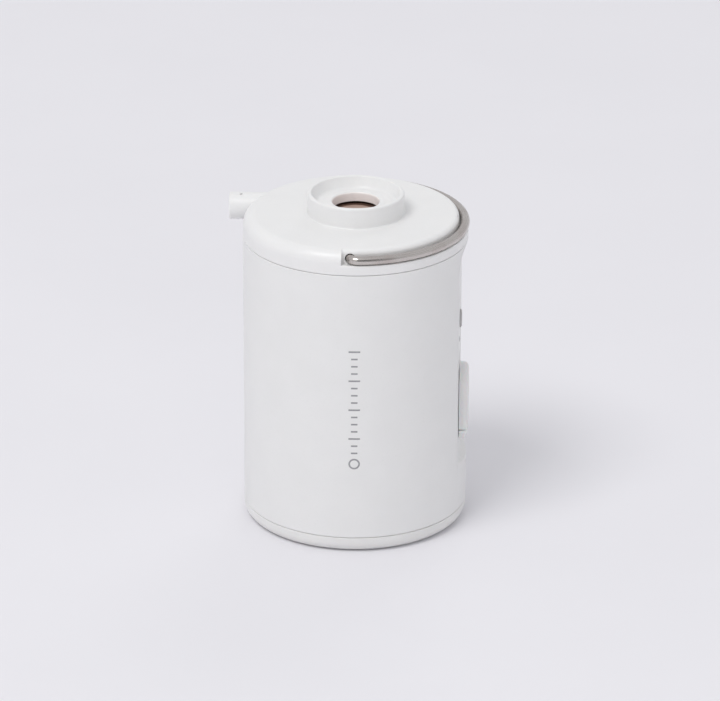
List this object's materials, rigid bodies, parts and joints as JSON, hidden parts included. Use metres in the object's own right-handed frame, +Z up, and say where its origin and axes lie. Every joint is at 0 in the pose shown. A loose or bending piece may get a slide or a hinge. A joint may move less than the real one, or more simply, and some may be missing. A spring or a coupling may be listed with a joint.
{
  "type": "electric air mattress pump",
  "caption": "Small cylindrical rechargeable air pump with a collared top port, a side outlet nozzle, a stowed wire bail, a side control panel and a lamp in its base.",
  "frame": {"origin": "on the body's axis at the flat underside of the base diffuser, where the pump stands", "axes": "+Z up along the body's axis, +X towards the control panel, -X towards the outlet nozzle, Y along the bail's pivot axis"},
  "size_m": [0.0618, 0.0576, 0.0871],
  "materials": {
    "white_plastic": "satin white moulded ABS with a fine matt texture",
    "milky_plastic": "translucent white diffuser plastic",
    "white_silicone": "soft white silicone",
    "grey_rubber": "dark grey rubber",
    "steel_wire": "satin stainless steel wire",
    "brown_plastic": "dark brown moulded nylon",
    "black_plastic": "black moulded plastic",
    "plated_steel": "nickel plated steel",
    "dark_magnet": "bonded ferrite, stated as plastic because the list has no ferrite",
    "brass": "bronze and brass contact parts",
    "copper": "wound copper, stated as brass",
    "board_green": "green circuit board",
    "cell_wrap": "shrink-wrapped lithium cell",
    "clear_plastic": "clear light pipe",
    "lamp_chip": "yellow phosphor on a white chip",
    "red_sleeve": "red insulated lead",
    "black_sleeve": "black insulated lead"
  },
  "bodies": {
    "housing": {"body_shell": "white_plastic", "top_lid": "white_plastic", "base_bulkhead": "white_plastic", "reflector": "white_plastic", "volute_base": "white_plastic", "chassis": "white_plastic", "lamp_diffuser": "milky_plastic", "base_seal": "white_silicone", "cover_anchor": "white_silicone", "intake_guard": "brown_plastic", "battery_holder": "black_plastic", "switch_body": "black_plastic", "driver_chip": "black_plastic", "motor_end_cap": "black_plastic", "motor_can": "plated_steel", "charging_socket": "plated_steel", "nickel_strip_upper": "plated_steel", "motor_magnet_0": "dark_magnet", "motor_magnet_1": "dark_magnet", "upper_bush": "brass", "lower_bush": "brass", "motor_brush_0": "brass", "motor_brush_1": "brass", "motor_terminal_0": "brass", "motor_terminal_1": "brass", "control_board": "board_green", "lamp_board": "board_green", "battery_cell_0": "cell_wrap", "battery_cell_1": "cell_wrap", "indicator_pipe": "clear_plastic", "indicator_led": "lamp_chip", "motor_grommet": "grey_rubber", "motor_lead_0": "red_sleeve", "motor_lead_1": "black_sleeve", "lamp_chip_0": "lamp_chip", "lid_screw_0": "plated_steel", "lamp_chip_1": "lamp_chip", "lid_screw_1": "plated_steel", "lamp_chip_2": "lamp_chip", "lid_screw_2": "plated_steel", "lamp_chip_3": "lamp_chip", "lid_screw_3": "plated_steel", "motor_screw_0": "plated_steel", "motor_screw_1": "plated_steel"},
    "bail": {"bail_wire": "steel_wire"},
    "rotor": {"motor_shaft": "plated_steel", "armature": "copper", "commutator": "copper", "impeller": "brown_plastic"},
    "button": {"power_button": "grey_rubber"},
    "plunger": {"switch_plunger": "grey_rubber"},
    "flap": {"port_cover": "white_silicone"}
  },
  "joints": [
    {"name": "bail_swing", "type": "hinge", "parent": "housing", "child": "bail", "pos_m": [0, 0, 0.0794], "axis": [0, -1, 0], "range_deg": [0, 105]},
    {"name": "rotor_spin", "type": "hinge", "parent": "housing", "child": "rotor", "pos_m": [0, 0, 0.06], "axis": [0, 0, 1], "continuous": true},
    {"name": "button_press", "type": "slide", "parent": "housing", "child": "button", "axis": [-1, 0, 0], "range_m": [0, 0.0006], "stiffness_N_per_m": 400},
    {"name": "plunger_press", "type": "slide", "parent": "housing", "child": "plunger", "axis": [-1, 0, 0], "range_m": [0, 0.0006]},
    {"name": "flap_open", "type": "hinge", "parent": "housing", "child": "flap", "pos_m": [0.0288, 0, 0.0242], "axis": [0, 1, 0], "range_deg": [0, 100], "stiffness_Nm_per_rad": 0.002}
  ],
  "couplings": [
    {"joint": "plunger_press", "follows": "button_press", "ratio": 1}
  ]
}
